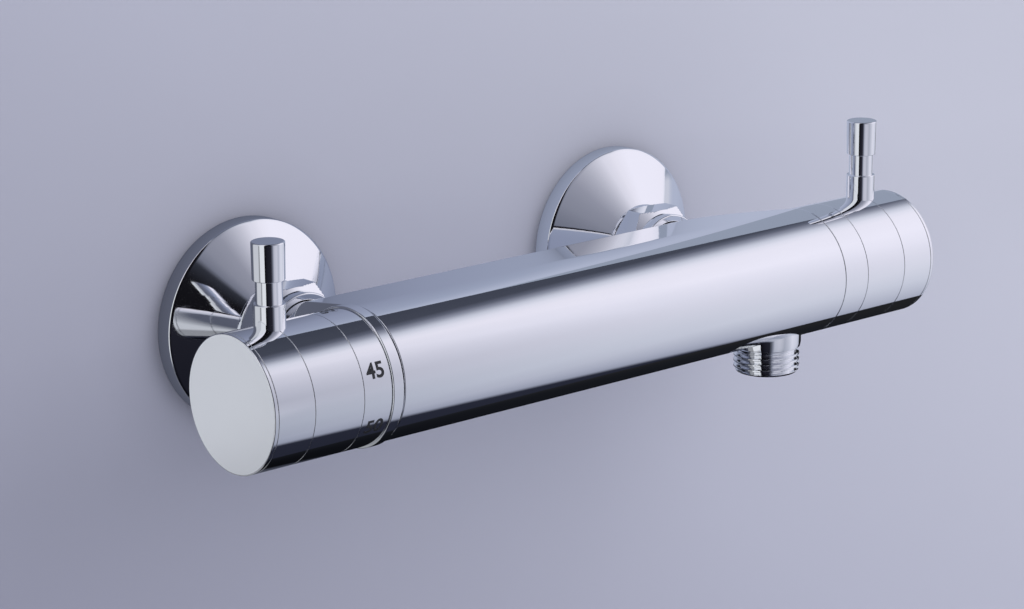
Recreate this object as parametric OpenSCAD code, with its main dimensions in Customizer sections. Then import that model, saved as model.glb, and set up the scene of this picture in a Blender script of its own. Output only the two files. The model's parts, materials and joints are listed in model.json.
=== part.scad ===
// Exposed thermostatic shower valve: a round bar on two wall unions, with the temperature handle
// on its left end, the flow handle on its right end and the hose outlet below.
// The bar runs along X. The wall is the plane y = 0, +Y points into it and +Z is up.
// The origin is midway between the axes of the two wall threads, on the wall plane.

/* [Installation] */
// Distance between the two inlets, hot on the left and cold on the right
inlet_spacing = 150; // [144:1:156]
// Distance from the wall to the axis of the bar
bar_standoff = 73; // [71.5:0.5:85]
// How far the eccentric wall threads lie above the axis of the bar
union_offset = 7.5; // [5:0.5:8.5]
// Position of the hose outlet along the bar, from its middle
outlet_x = 77; // [76:0.5:78.5]

/* [Bar body] */
// Diameter of the bar
bar_d = 40; // [39.6:0.2:46]
// Distance from the middle to the left end of the body
body_left = 87.7; // [86.5:0.1:93]
// Distance from the middle to the right end of the body
body_right = 92; // [90.5:0.1:93.5]
// Distance from the bar's axis to the flat back of the rear casing
rear_reach = 31.3; // [31:0.1:33]
// Height of the corner centres of the rear casing above its middle
rear_half_flat = 8; // [6:0.1:9.5]
// Radius of the long corners of the rear casing
rear_corner_r = 9; // [7:0.1:10]
// Radius of the cold water channel in the rear casing
channel_r = 5.5; // [4:0.1:5.8]

/* [Rings beside the body] */
// Width of the shadow gap between the body and the trim ring
shadow_gap = 0.9; // [0.5:0.1:1.5]
// Width of the raised trim ring
trim_ring_w = 3.7; // [3:0.1:5]
// How far the trim ring stands proud of the bar
trim_ring_rise = 0.6; // [0.2:0.1:1.2]
// Width of the temperature scale ring
scale_ring_w = 9.8; // [9:0.1:12]
// Width of the plain ring between the body and the flow handle
flow_ring_w = 10.1; // [9.9:0.1:12]

/* [Handles] */
// Length of a handle's inner sleeve, from its inner edge to the lever
handle_inner_w = 17; // [15:0.1:20]
// Length of a handle's outer sleeve, from the lever to the end cap
handle_outer_w = 12.4; // [12:0.1:15]
// Thickness of the end cap's rim
cap_t = 1.3; // [1:0.1:2]
// Wall thickness of the chromed sleeves and rings
sleeve_wall = 1.8; // [1.5:0.1:1.9]
// Width of the fine joints between neighbouring sleeves and rings
joint_gap = 0.1; // [0.06:0.01:0.2]

/* [Levers] */
// Diameter of a lever's knob
knob_d = 9.6; // [8.8:0.1:11]
// Height of the knob
knob_h = 11; // [9:0.1:16]
// Diameter of the neck below the knob
lever_neck_d = 7.6; // [6.4:0.1:8.4]
// Height of the neck
lever_neck_h = 6.6; // [4:0.1:9]
// Diameter of the collar at the foot of a lever
lever_collar_d = 9.1; // [8.6:0.1:11]
// Height of the temperature lever's collar above the bar
temp_collar_rise = 6.6; // [5:0.1:9]
// Height of the flow lever's collar above the bar
flow_collar_rise = 7.6; // [5:0.1:9]

/* [Escutcheons] */
// Diameter of an escutcheon at the wall
escutcheon_d = 63; // [60:0.5:72]
// Depth of its straight rim
escutcheon_rim = 6; // [4:0.1:8]
// Distance from the wall to the edge of its throat
escutcheon_depth = 16.7; // [16:0.1:17]
// Wall thickness of its cone
escutcheon_wall = 1.4; // [1:0.1:1.8]

/* [Wall unions] */
// Length of the thread that goes into the wall
wall_thread_l = 16; // [12:0.5:20]
// Distance from the wall to the valve side end of a union
union_end = 23.6; // [23.4:0.1:24.6]
// Size across the flats of the hexagon at the wall
union_hex_af = 27; // [26:0.5:29]
// Size across the flats of a union nut
nut_af = 29; // [28.8:0.1:31]
// Length of the nut's hexagon
nut_hex_l = 10.2; // [9:0.1:10.8]
// Length of the round collar in front of the hexagon
nut_collar_l = 3.4; // [2.6:0.1:4]
// Thickness of the rubber washer in the union
washer_t = 2; // [1.7:0.1:2.4]

/* [Outlet] */
// Distance from the bar's axis to the lower end of the outlet
outlet_reach = 30; // [29:0.1:36]
// Distance from the bar's axis to the first thread of the outlet
outlet_thread_top = 22.5; // [22.1:0.1:24]
// Radius of the outlet's waterway
outlet_bore_r = 7; // [5:0.1:7.4]

/* [Turning] */
// Turn of the temperature handle from its middle setting to its hot stop, in degrees
hot_turn = 120; // [90:1:130]
// Turn of the temperature handle from its middle setting to its cold stop, in degrees
cold_turn = 130; // [90:1:140]
// Turn of the flow handle from off to full flow, in degrees
flow_turn = 90; // [60:1:120]

/* [Hidden] */
$fn = 96;

// Cuts run past the surface by this much
over = 1;
// Radial clearance of parts that are pushed or screwed together
fit_gap = 0.05;
// Radial clearance of parts that turn or slide
slide_gap = 0.08;
// Clearance between faces that meet end to end
face_gap = 0.05;
// Small chamfer on the edges of turned parts
edge_break = 0.3;
fine_break = 0.15;

// Outer diameters of the standard pipe threads: half inch at the wall and at the outlet,
// three quarter inch on the valve side of the unions
half_inch_d = 20.955;
three_quarter_d = 26.441;

bar_r = bar_d / 2;
axis_y = -bar_standoff;
axis_z = -union_offset;
inlet_x = inlet_spacing / 2;
sleeve_in_r = bar_r - sleeve_wall;
seat_r = sleeve_in_r - fit_gap;

// Wall unions and inlet spigots, as distances from the wall
union_r = three_quarter_d / 2;
wall_thread_r = half_inch_d / 2;
union_hex_start = 0.8;
union_hex_end = 5.4;
union_barrel_start = 1.2;
union_wall_bore_r = 7.5;
union_wall_bore_end = 4.2;
union_valve_bore_r = 9;
union_valve_bore_start = 2.9;
thread_chamfer = 0.8;
spigot_end = union_end + washer_t;
spigot_r = 11.2;
rear_face = bar_standoff - rear_reach;
washer_in_r = 8.4;
washer_out_r = 12.8;

// Split ring that holds the union nut on its spigot
ring_land = 0.5;
ring_t = 0.8;
ring_groove_w = ring_t + 2 * face_gap;
ring_groove_r = 10.3;
ring_r = 12.6;
ring_slot_w = 6;

// Union nut
nut_shoulder = spigot_end + ring_land + ring_groove_w + face_gap;
nut_shoulder_in = 0.35;
nut_front = nut_shoulder + nut_shoulder_in;
nut_back = nut_front - nut_hex_l;
nut_collar_r = 13.6;
nut_chamfer = 1.7;
nut_nose_r = nut_af / 2 - slide_gap;
nut_corner_r = nut_af / 2 / cos(30);

// Throat of an escutcheon
throat_in_r = union_r + fit_gap;
throat_out_r = throat_in_r + escutcheon_wall;
throat_l = 0.8;
rim_break = 0.6;

// Check valve in each inlet spigot, as distances from the end of the spigot
check_r = 8;
check_l = 13.8;
check_bore_r = 6.2;
check_seat_r = 4.6;
check_seat_l = 2.1;
check_pocket_l = 14.2;
check_pocket_r = check_r + fit_gap;
guide_start = 11.4;
guide_end = 13.4;
guide_r = 2.4;
guide_arm_w = 1.6;
guide_arm_in = 1.8;
poppet_r = 5.7;
poppet_nose_r = 2.6;
poppet_nose_start = 0.8;
poppet_t = 1.5;
stem_r = 1.2;
stem_end = 13.2;
check_spring_r = 2.6;
check_spring_wire_r = 0.35;
check_spring_turns = 6;

// Waterways of the body
port_r = 5;
cold_port_r = 4.5;
channel_wall = 2.8;
channel_past = 1.2;
channel_y = rear_reach - channel_wall - channel_r;
channel_depth = bar_standoff - channel_y;
mix_bore_r = 8;
casing_inset = 0.06;

// Thermostatic cartridge, as distances inwards from the left end of the body
neck_l = 4.2;
neck_r = seat_r;
nut_thread_r = 16;
nut_thread_in = 2.4;
hot_bore_r = 15;
hot_bore_l = 28.6;
cold_bore_r = 13.6;
cold_bore_l = 51;
land_gap = 0.1;
groove_l = 2.4;
groove_depth = 1.7;
hot_land_r = hot_bore_r - land_gap;
cold_land_r = cold_bore_r - land_gap;
flange_end = 7.4;
first_groove = 3.8;
hot_neck_r = 12;
hot_neck_end = 22.8;
second_groove = 24.3;
hot_land_end = 28.2;
cold_neck_r = 11;
cold_neck_end = 40;
third_groove = 41.3;
cold_land_end = 45;
tip_r = 9.5;
tip_end = 50;
split_at = 12;
split_plug_r = 10.4;
split_plug_l = 3;
chamber_r = 9.1;
chamber_start = 5.2;
chamber_end = 44;
window_w = 8;
window_l = 1.6;
hot_window = 19;
cold_window = 29.4;
tip_bore_r = 4.6;
tip_hole_r = 1.4;
tip_hole_ring_r = 7.2;
cold_port_in = 34;
nose_r = 11;
nose_l = 12;
shaft_r = 4.85;
shaft_bore_r = shaft_r + slide_gap;
nose_groove_r = 6.35;
nose_groove_start = -4.4;
nose_groove_l = 1.8;
collar_r = 8.5;
collar_start = 5.3;
collar_end = 7.8;
skirt_r = 5.5;
skirt_end = 16.5;
socket_bottom = 9;
plunger_r = 3;
plunger_start = 10.2;
plunger_end = 18.5;
pin_r = 1.5;
cup_start = 21;
cup_cone = 1;
cup_top_r = 3;
cup_r = 4.2;
cup_flange_r = 5.6;
cup_flange_start = 23.9;
cup_flange_end = 25.4;
cup_end = 42;
shuttle_r = chamber_r - slide_gap;
shuttle_in_r = 7.6;
shuttle_travel = 0.8;
shuttle_land = 2.4;
slot_l = 2.2;
hot_slot = hot_window + shuttle_travel;
cold_slot = cold_window + shuttle_travel - slot_l;
shuttle_start = hot_slot - shuttle_land;
shuttle_end = cold_slot + slot_l + shuttle_land;
web_t = 1.5;
web_hole_r = 1.1;
web_hole_ring_r = 5.9;
return_spring_r = 5.6;
return_spring_wire_r = 0.55;
return_spring_turns = 6;
cartridge_nut_af = 31;
cartridge_nut_head = 3.3;
cartridge_nut_bore_r = nose_r + 3 * slide_gap;

// Rings, as distances outwards from the left end of the body
trim_start = shadow_gap;
scale_start = trim_start + trim_ring_w + joint_gap;
temp_start = scale_start + scale_ring_w + joint_gap;
cartridge_nut_out = neck_l + face_gap;
temp_ring_start = cartridge_nut_out + cartridge_nut_head + slide_gap;
tooth_reach = 2.3;
stop_lug_h = 2;
temp_ring_end = temp_start - tooth_reach - slide_gap;
stop_in_r = 15.7;
stop_out_r = 17.7;
tooth_turn = 14;
stop_ease = 0.5;
lug_turn = 16;

// Flow cartridge, as distances inwards from the right end of the body
flow_ring_start = joint_gap;
flow_start = flow_ring_start + flow_ring_w + joint_gap;
flow_bore_r = 12.5;
flow_bore_l = 26;
flow_thread_l = 8;
flow_groove = 5;
flow_neck_r = 10;
flow_neck_end = 21;
flow_foot_r = 12;
flow_foot_end = 24.2;
flow_hex_af = 27;
flow_hex_l = 5;
flow_nose_r = 8;
flow_nose_l = flow_start - edge_break - slide_gap;
flow_shaft_r = 3.95;
flow_shaft_bore_r = flow_shaft_r + slide_gap;
flow_chamber_r = 8.6;
flow_chamber_start = 9;
flow_window_start = 10.5;
flow_window_end = 16.8;
flow_window_w = 9;
flow_nose_groove_r = 5.45;
flow_nose_groove_start = -3;
seat_seal_in_r = 6.6;
seat_seal_r = 11.5;
disc_r = 8.5;
fixed_disc_t = 3.4;
fixed_disc_start = flow_foot_end - face_gap - fixed_disc_t;
moving_disc_r = 8.4;
moving_disc_t = 3.3;
moving_disc_start = fixed_disc_start - face_gap - moving_disc_t;
disc_port_in_r = 2;
disc_port_out_r = 6.4;
disc_port_turn = 76;
tongue_w = 3;
tongue_half_l = 7;
tongue_slot_depth = 1.3;
tongue_start = 14;
flow_collar_r = 6.5;
flow_collar_start = 9.1;
flow_collar_end = 11;
flow_shank_r = 4.6;
circlip_t = 0.7;
circlip_r = 5.6;
circlip_groove_r = 3.3;
circlip_slot_w = 4;
flow_stop_start = 0.3;
flow_stop_in_r = flow_hex_af / 2 / cos(30) + fit_gap;
flow_stop_end = flow_start - tooth_reach - slide_gap;

// Handles, as distances outwards from the inner edge of the inner sleeve
seam = handle_inner_w + joint_gap / 2;
handle_end = handle_inner_w + joint_gap + handle_outer_w;
cap_start = handle_end + joint_gap;
hub_start = 0.5;
hub_end = handle_end - edge_break;
hub_cavity_in_r = 8;
hub_cavity_out_r = 14.5;
hub_floor = 1;
hub_cavity_end = seam - lever_collar_d / 2 - hub_floor;
hub_rib_w = 1.6;
hub_ribs = 6;
spline_r = 4.6;
spline_past_lever = 3.6;
spline_end = seam + spline_past_lever;
tap_r = 2;
tap_l = 9;
screw_r = 1.95;
screw_l = 11.6;
hub_web = 3.4;
screw_head_start = spline_end + hub_web;
screw_head_r = 3.6;
screw_head_h = 2.4;
screw_socket_r = 1.75;
screw_socket_depth = 1.5;
screw_hole_r = 2.2;
screw_recess_r = 4.3;
dish_r = 12;
dish_start = screw_head_start + screw_head_h;
cap_boss_wall = 2.4;
cap_boss_l = 2;
stud_r = 2.9;
stud_tip = 11;
stud_hole_tip = 10.5;
lever_seat_step = 0.6;
lever_seat = sleeve_in_r - lever_seat_step;
lever_spot_r = lever_collar_d / 2 + slide_gap;
knob_taper = 0.15;

// Outlet, as distances down from the bar's axis
outlet_spigot_r = 8.95;
outlet_spigot_top = 13;
outlet_seat = 15.5;
outlet_washer_t = 0.8;
outlet_collar_r = 10.9;
outlet_collar_start = outlet_seat + outlet_washer_t;
outlet_chamfer = 0.9;

// Frames of the four directions in which the pieces are turned
module out_left(start = 0) {
    translate([-body_left - start, axis_y, axis_z]) rotate([0, -90, 0]) children();
}
module out_right(start = 0) {
    translate([body_right + start, axis_y, axis_z]) rotate([0, 90, 0]) rotate([0, 0, 180]) children();
}
module in_left() {
    translate([-body_left, axis_y, axis_z]) rotate([0, 90, 0]) children();
}
module in_right() {
    translate([body_right, axis_y, axis_z]) rotate([0, -90, 0]) children();
}
module from_wall(x) {
    translate([x, 0, axis_z]) rotate([90, 0, 0]) children();
}
module down() {
    translate([outlet_x, axis_y, axis_z]) rotate([180, 0, 0]) children();
}

// Turned shapes about the local Z axis
module rod(r, from, to) {
    translate([0, 0, from]) cylinder(r = r, h = to - from);
}
module tube(out_r, in_r, from, to, break_by = 0) {
    rotate_extrude() polygon([
        [in_r, from], [out_r - break_by, from], [out_r, from + break_by],
        [out_r, to - break_by], [out_r - break_by, to], [in_r, to]
    ]);
}
module hexagon(af, from, to) {
    translate([0, 0, from]) cylinder(r = af / 2 / cos(30), h = to - from, $fn = 6);
}
module o_ring(out_r, in_r, middle) {
    translate([0, 0, middle]) rotate_extrude() translate([(out_r + in_r) / 2, 0])
        circle(r = (out_r - in_r) / 2 - fit_gap / 2, $fn = 32);
}
module sector(out_r, in_r, from, to, turn) {
    translate([0, 0, from]) rotate_extrude(angle = turn)
        translate([in_r, 0]) square([out_r - in_r, to - from]);
}
module around(count) {
    for (i = [0:count - 1]) rotate([0, 0, 360 * i / count]) children();
}
module beam(from_x, to_x, width, from, to) {
    translate([from_x, -width / 2, from]) cube([to_x - from_x, width, to - from]);
}

// A round wire wound into a spring that fills the length between its two seats
coil_sides = 6;
coil_steps = 14;
function coil_point(coil_r, wire_r, length, turns, k, side) =
    let (a = 360 * k / coil_steps,
         b = 360 * side / coil_sides,
         r = coil_r + wire_r * cos(b),
         z = wire_r + (length - 2 * wire_r) * k / (coil_steps * turns) + wire_r * sin(b))
    [r * cos(a), r * sin(a), z];
module coil(coil_r, wire_r, length, turns) {
    last = coil_steps * turns;
    points = [for (k = [0:last], s = [0:coil_sides - 1])
        coil_point(coil_r, wire_r, length, turns, k, s)];
    walls = [for (k = [0:last - 1], s = [0:coil_sides - 1])
        let (a = k * coil_sides + s,
             b = k * coil_sides + (s + 1) % coil_sides,
             c = a + coil_sides,
             d = b + coil_sides)
        each [[a, b, c], [b, d, c]]];
    first_end = [for (s = [1:coil_sides - 2]) [0, s + 1, s]];
    base = last * coil_sides;
    last_end = [for (s = [1:coil_sides - 2]) [base, base + s, base + s + 1]];
    polyhedron(points = points, faces = concat(walls, first_end, last_end));
}

// The cast body: a round bar, the rear casing with its cold channel, and the inlet spigots
module rear_casing() {
    depth = rear_reach - rear_corner_r;
    full_end = body_left + inlet_x;
    in_left() hull() {
        for (side = [-1, 1]) translate([side * rear_half_flat, depth, edge_break])
            cylinder(r = rear_corner_r, h = full_end - edge_break, $fn = 32);
        translate([0, 0, edge_break])
            cylinder(r = bar_r - casing_inset, h = body_left + body_right - 2 * edge_break, $fn = 32);
    }
}
module inlet_spigot(x) {
    from_wall(x) difference() {
        rotate_extrude() polygon([
            [0, spigot_end], [spigot_r - edge_break, spigot_end],
            [spigot_r, spigot_end + edge_break], [spigot_r, rear_face + rear_corner_r],
            [0, rear_face + rear_corner_r]
        ]);
        tube(spigot_r + over, ring_groove_r, spigot_end + ring_land,
            spigot_end + ring_land + ring_groove_w);
    }
}
module inlet_bore(x, passage_end) {
    from_wall(x) {
        rod(check_pocket_r, spigot_end - over, spigot_end + check_pocket_l);
        rod(port_r, spigot_end, passage_end);
    }
}
module valve_body() {
    length = body_left + body_right;
    color("silver") difference() {
        union() {
            in_left() tube(bar_r, 0, 0, length, edge_break);
            rear_casing();
            for (x = [-inlet_x, inlet_x]) inlet_spigot(x);
            out_left() rod(neck_r, -over, neck_l);
        }
        out_left() rod(nut_thread_r, -nut_thread_in, neck_l + over);
        in_left() {
            rod(hot_bore_r, -over, hot_bore_l);
            rod(cold_bore_r, 0, cold_bore_l);
            rod(mix_bore_r, 0, length - over);
            translate([0, channel_y, 0])
                rod(channel_r, cold_port_in - channel_past, body_left + inlet_x + channel_past);
        }
        in_right() rod(flow_bore_r, -over, flow_bore_l);
        inlet_bore(-inlet_x, bar_standoff - hot_neck_r);
        inlet_bore(inlet_x, channel_depth);
        from_wall(cold_port_in - body_left)
            rod(cold_port_r, channel_depth, bar_standoff - cold_neck_r);
        down() {
            rod(outlet_spigot_r + fit_gap, 0, bar_r + over);
            rod(outlet_collar_r + fit_gap, outlet_seat, bar_r + over);
        }
    }
}

// Hose outlet below the flow handle's end of the bar
module outlet_nipple() {
    color("silver") down() rotate_extrude() polygon([
        [outlet_bore_r, outlet_spigot_top], [outlet_spigot_r, outlet_spigot_top],
        [outlet_spigot_r, outlet_collar_start], [outlet_collar_r, outlet_collar_start],
        [outlet_collar_r, bar_r + edge_break], [wall_thread_r, outlet_thread_top],
        [wall_thread_r, outlet_reach - outlet_chamfer],
        [wall_thread_r - outlet_chamfer, outlet_reach],
        [outlet_bore_r + edge_break, outlet_reach], [outlet_bore_r, outlet_reach - edge_break]
    ]);
}
module outlet_washer() {
    color("dimgray") down()
        tube(outlet_collar_r - fit_gap, outlet_spigot_r + fit_gap, outlet_seat + face_gap / 2,
            outlet_collar_start - face_gap / 2);
}

// Bell shaped wall cover with a straight rim and a flared front
module escutcheon(x) {
    rim_r = escutcheon_d / 2;
    in_rim_r = rim_r - escutcheon_wall;
    in_rim = escutcheon_rim - escutcheon_wall;
    color("silver") from_wall(x) rotate_extrude() polygon([
        [rim_r, 0], [rim_r, escutcheon_rim - rim_break], [rim_r - rim_break, escutcheon_rim],
        [throat_out_r, escutcheon_depth], [throat_in_r, escutcheon_depth],
        [throat_in_r, escutcheon_depth - throat_l], [in_rim_r, in_rim], [in_rim_r, 0]
    ]);
}
module hot_escutcheon() {
    escutcheon(-inlet_x);
}
module cold_escutcheon() {
    escutcheon(inlet_x);
}

// Eccentric union: the wall thread lies above the valve side thread
module s_union(x) {
    color("goldenrod") from_wall(x) difference() {
        union() {
            translate([0, union_offset, 0]) {
                tube(wall_thread_r, 0, -wall_thread_l, union_hex_start + over, thread_chamfer);
                hexagon(union_hex_af, union_hex_start, union_hex_end);
            }
            tube(union_r, 0, union_barrel_start, union_end, thread_chamfer);
        }
        translate([0, union_offset, 0])
            rod(union_wall_bore_r, -wall_thread_l - over, union_wall_bore_end);
        rod(union_valve_bore_r, union_valve_bore_start, union_end + over);
    }
}
module hot_s_union() {
    s_union(-inlet_x);
}
module cold_s_union() {
    s_union(inlet_x);
}

// Union nut: a chamfered hexagon with a round collar towards the body
module union_nut(x) {
    color("silver") from_wall(x) difference() {
        union() {
            intersection() {
                hexagon(nut_af, nut_back, nut_front);
                rotate_extrude() polygon([
                    [0, nut_back], [nut_nose_r, nut_back],
                    [nut_corner_r + edge_break, nut_back + nut_chamfer],
                    [nut_corner_r + edge_break, nut_front - nut_chamfer],
                    [nut_nose_r, nut_front], [0, nut_front]
                ]);
            }
            tube(nut_collar_r, 0, nut_shoulder, nut_front + nut_collar_l, edge_break);
        }
        rod(union_r + fit_gap, nut_back - over, nut_shoulder);
        rod(spigot_r + 2 * slide_gap, nut_shoulder - over, nut_front + nut_collar_l + over);
    }
}
module hot_union_nut() {
    union_nut(-inlet_x);
}
module cold_union_nut() {
    union_nut(inlet_x);
}

module union_washer(x) {
    color("dimgray") from_wall(x)
        tube(washer_out_r, washer_in_r, union_end + face_gap / 2, spigot_end - face_gap / 2);
}
module hot_washer() {
    union_washer(-inlet_x);
}
module cold_washer() {
    union_washer(inlet_x);
}

module retaining_ring(x) {
    start = spigot_end + ring_land + face_gap;
    color("lightsteelblue") from_wall(x) difference() {
        tube(ring_r, ring_groove_r + fit_gap, start, start + ring_t);
        beam(0, ring_r + over, ring_slot_w, start - over, start + ring_t + over);
    }
}
module hot_retaining_ring() {
    retaining_ring(-inlet_x);
}
module cold_retaining_ring() {
    retaining_ring(inlet_x);
}

// Check valve: a moulded tube with its seat, and a three armed guide for the stem
module check_housing(x) {
    color("ivory") from_wall(x) translate([0, 0, spigot_end]) difference() {
        union() {
            rotate_extrude() polygon([
                [check_seat_r, face_gap], [check_r, face_gap], [check_r, check_l],
                [check_bore_r, check_l], [check_bore_r, check_seat_l], [check_seat_r, check_seat_l]
            ]);
            rod(guide_r, guide_start, guide_end);
            around(3) beam(guide_arm_in, (check_r + check_bore_r) / 2, guide_arm_w,
                guide_start + edge_break, guide_end - edge_break);
        }
        rod(stem_r + slide_gap, guide_start - over, guide_end + over);
    }
}
module hot_check_housing() {
    check_housing(-inlet_x);
}
module cold_check_housing() {
    check_housing(inlet_x);
}

module check_poppet(x) {
    seat = check_seat_l + face_gap;
    color("tomato") from_wall(x) translate([0, 0, spigot_end]) rotate_extrude() polygon([
        [0, poppet_nose_start], [poppet_nose_r, poppet_nose_start],
        [check_seat_r - edge_break, seat], [poppet_r, seat], [poppet_r, seat + poppet_t],
        [stem_r, seat + poppet_t], [stem_r, stem_end], [0, stem_end]
    ]);
}
module hot_check_poppet() {
    check_poppet(-inlet_x);
}
module cold_check_poppet() {
    check_poppet(inlet_x);
}

module check_spring(x) {
    start = check_seat_l + poppet_t + 2 * face_gap;
    color("lightsteelblue") from_wall(x) translate([0, 0, spigot_end + start])
        coil(check_spring_r, check_spring_wire_r, guide_start - face_gap - start,
            check_spring_turns);
}
module hot_check_spring() {
    check_spring(-inlet_x);
}
module cold_check_spring() {
    check_spring(inlet_x);
}

// Thermostatic cartridge: the head carries the spindle, the sleeve holds the shuttle
module cartridge_head() {
    color("ivory") in_left() difference() {
        union() {
            tube(nose_r, 0, -nose_l, nut_thread_in + over, edge_break);
            rod(hot_land_r, nut_thread_in, flange_end);
            rod(hot_neck_r, flange_end - over, split_at);
            rod(split_plug_r, split_at - over, split_at + split_plug_l);
        }
        tube(hot_land_r + over, hot_land_r - groove_depth, first_groove, first_groove + groove_l);
        rod(shaft_bore_r, -nose_l - over, chamber_start + over);
        rod(nose_groove_r, nose_groove_start, nose_groove_start + nose_groove_l);
        rod(chamber_r, chamber_start, split_at + split_plug_l + over);
    }
}
module radial_slots(out_r, from, length) {
    around(4) beam(cup_flange_r, out_r + over, window_w, from, from + length);
}
module cartridge_sleeve() {
    color("ivory") in_left() difference() {
        union() {
            rod(hot_neck_r, split_at + face_gap, hot_neck_end + over);
            rod(hot_land_r, hot_neck_end, hot_land_end);
            rod(cold_neck_r, hot_land_end - over, cold_neck_end + over);
            rod(cold_land_r, cold_neck_end, cold_land_end);
            tube(tip_r, 0, cold_land_end - over, tip_end, edge_break);
        }
        tube(hot_land_r + over, hot_land_r - groove_depth, second_groove, second_groove + groove_l);
        tube(cold_land_r + over, cold_land_r - groove_depth, third_groove, third_groove + groove_l);
        rod(split_plug_r + fit_gap, split_at - over, split_at + split_plug_l + fit_gap);
        rod(chamber_r, split_at, chamber_end);
        rod(tip_bore_r, chamber_end - over, tip_end + over);
        around(6) translate([tip_hole_ring_r, 0, 0]) rod(tip_hole_r, chamber_end - over, tip_end + over);
        radial_slots(hot_neck_r, hot_window, window_l);
        radial_slots(cold_neck_r, cold_window, window_l);
    }
}
module cartridge_seals() {
    color("dimgray") in_left() {
        for (at = [first_groove, second_groove])
            o_ring(hot_bore_r, hot_land_r - groove_depth, at + groove_l / 2);
        o_ring(cold_bore_r, cold_land_r - groove_depth, third_groove + groove_l / 2);
        o_ring(nose_groove_r, shaft_r, nose_groove_start + nose_groove_l / 2);
    }
}
module cartridge_nut() {
    color("goldenrod") out_left() difference() {
        union() {
            rod(nut_thread_r - fit_gap, face_gap - nut_thread_in, cartridge_nut_out + over);
            hexagon(cartridge_nut_af, cartridge_nut_out, cartridge_nut_out + cartridge_nut_head);
        }
        rod(cartridge_nut_bore_r, -nut_thread_in - over,
            cartridge_nut_out + cartridge_nut_head + over);
    }
}

// Spindle with a twelve point drive for the hub and a screwed socket for the plunger
module thermostat_spindle() {
    drive_end = temp_start + spline_end;
    color("goldenrod") out_left() difference() {
        union() {
            rod(shaft_r, -collar_start - over, nose_l + edge_break);
            translate([0, 0, nose_l]) cylinder(r = spline_r, h = drive_end - nose_l, $fn = 12);
            rod(collar_r, -collar_end, -collar_start);
            rod(skirt_r, -skirt_end, -collar_end + over);
        }
        rod(plunger_r + slide_gap, -skirt_end - over, -socket_bottom);
        rod(tap_r, drive_end - tap_l - over, drive_end + over);
    }
}
module thermostat_plunger() {
    color("khaki") in_left() tube(plunger_r, 0, plunger_start, plunger_end, edge_break);
}
module wax_element() {
    color("peru") in_left() rotate_extrude() polygon([
        [0, plunger_end], [pin_r, plunger_end], [pin_r, cup_start], [cup_top_r, cup_start],
        [cup_r, cup_start + cup_cone], [cup_r, cup_flange_start], [cup_flange_r, cup_flange_start],
        [cup_flange_r, cup_flange_end], [cup_r, cup_flange_end], [cup_r, cup_end - cup_cone],
        [cup_top_r, cup_end], [0, cup_end]
    ]);
}
// Slotted shuttle: as it moves inwards it closes the hot windows and opens the cold ones
module thermostat_shuttle() {
    web = cup_flange_end + face_gap;
    color("lightsteelblue") in_left() difference() {
        union() {
            tube(shuttle_r, shuttle_in_r, shuttle_start, shuttle_end);
            tube(shuttle_in_r + over, cup_r + fit_gap, web, web + web_t);
        }
        around(6) translate([web_hole_ring_r, 0, 0]) rod(web_hole_r, web - over, web + web_t + over);
        radial_slots(shuttle_r, hot_slot, slot_l);
        radial_slots(shuttle_r, cold_slot, slot_l);
    }
}
module return_spring() {
    start = cup_flange_end + web_t + 2 * face_gap;
    color("lightsteelblue") in_left() translate([0, 0, start])
        coil(return_spring_r, return_spring_wire_r, chamber_end - face_gap - start,
            return_spring_turns);
}

// Stop ring: the lug fills the turn that the handle's tooth never sweeps
module temp_stop_ring() {
    free_turn = hot_turn + cold_turn + tooth_turn + 2 * stop_ease;
    color("whitesmoke") out_left() {
        tube(seat_r, nose_r + fit_gap, temp_ring_start, temp_ring_end);
        rotate([0, 0, 180 + cold_turn + tooth_turn / 2 + stop_ease])
            sector(stop_out_r, stop_in_r, temp_ring_end - over, temp_ring_end + stop_lug_h,
                360 - free_turn);
    }
}
module trim_ring() {
    color("silver") out_left()
        tube(bar_r + trim_ring_rise, sleeve_in_r, trim_start, trim_start + trim_ring_w, edge_break);
}
module scale_ring() {
    color("silver") out_left()
        tube(bar_r, sleeve_in_r, scale_start, scale_start + scale_ring_w, fine_break);
}

// Flow cartridge: a quarter turn ceramic disc valve in a brass housing
module flow_housing() {
    color("goldenrod") in_right() difference() {
        union() {
            tube(flow_nose_r, 0, -flow_nose_l, 0, edge_break);
            hexagon(flow_hex_af, -flow_hex_l, -face_gap);
            rod(flow_bore_r - fit_gap, -over, flow_thread_l);
            rod(flow_neck_r, 0, flow_neck_end + over);
            rod(flow_foot_r, flow_neck_end, flow_foot_end);
        }
        tube(flow_bore_r + over, flow_bore_r - fit_gap - groove_depth, flow_groove,
            flow_groove + groove_l);
        rod(flow_shaft_bore_r, -flow_nose_l - over, flow_chamber_start + over);
        rod(flow_nose_groove_r, flow_nose_groove_start, flow_nose_groove_start + nose_groove_l);
        rod(flow_chamber_r, flow_chamber_start, flow_foot_end + over);
        around(4) beam(flow_shaft_r, flow_bore_r + over, flow_window_w, flow_window_start,
            flow_window_end);
    }
}
module flow_seals() {
    color("dimgray") in_right() {
        o_ring(flow_bore_r, flow_bore_r - fit_gap - groove_depth, flow_groove + groove_l / 2);
        o_ring(flow_nose_groove_r, flow_shaft_r, flow_nose_groove_start + nose_groove_l / 2);
    }
}
module flow_seat_seal() {
    color("dimgray") in_right()
        tube(seat_seal_r, seat_seal_in_r, flow_foot_end + face_gap, flow_bore_l - face_gap);
}
module disc_ports(from, to) {
    around(2) rotate([0, 0, -disc_port_turn / 2])
        sector(disc_port_out_r, disc_port_in_r, from, to, disc_port_turn);
}
module flow_fixed_disc() {
    end = fixed_disc_start + fixed_disc_t;
    color("whitesmoke") in_right() difference() {
        rod(disc_r, fixed_disc_start, end);
        disc_ports(fixed_disc_start - over, end + over);
    }
}
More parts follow.
